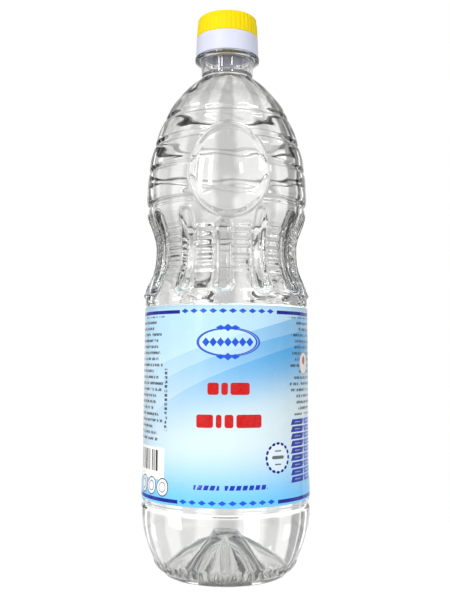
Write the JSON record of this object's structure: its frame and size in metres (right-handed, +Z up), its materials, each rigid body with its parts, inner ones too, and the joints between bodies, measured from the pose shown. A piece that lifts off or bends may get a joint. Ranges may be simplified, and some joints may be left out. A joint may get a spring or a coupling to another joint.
{
  "type": "vinegar bottle",
  "caption": "Clear plastic bottle of white vinegar with a fluted waist, an oval medallion, a star base, a wrap-round label and a two-colour screw cap.",
  "frame": {"origin": "middle of the base, on the plane that the bottle stands on", "axes": "+Z up along the bottle's axis, the front with the medallion faces -Y, +X to the viewer's right"},
  "size_m": [0.0808, 0.0806, 0.2742],
  "materials": {
    "clear_plastic": "gloss",
    "vinegar": "gloss",
    "label_print": "gloss",
    "white_plastic": "satin",
    "yellow_plastic": "satin"
  },
  "bodies": {
    "root": {"bottle": "clear_plastic", "vinegar": "vinegar", "label": "label_print", "collar": "white_plastic", "lid": "yellow_plastic"}
  },
  "joints": []
}
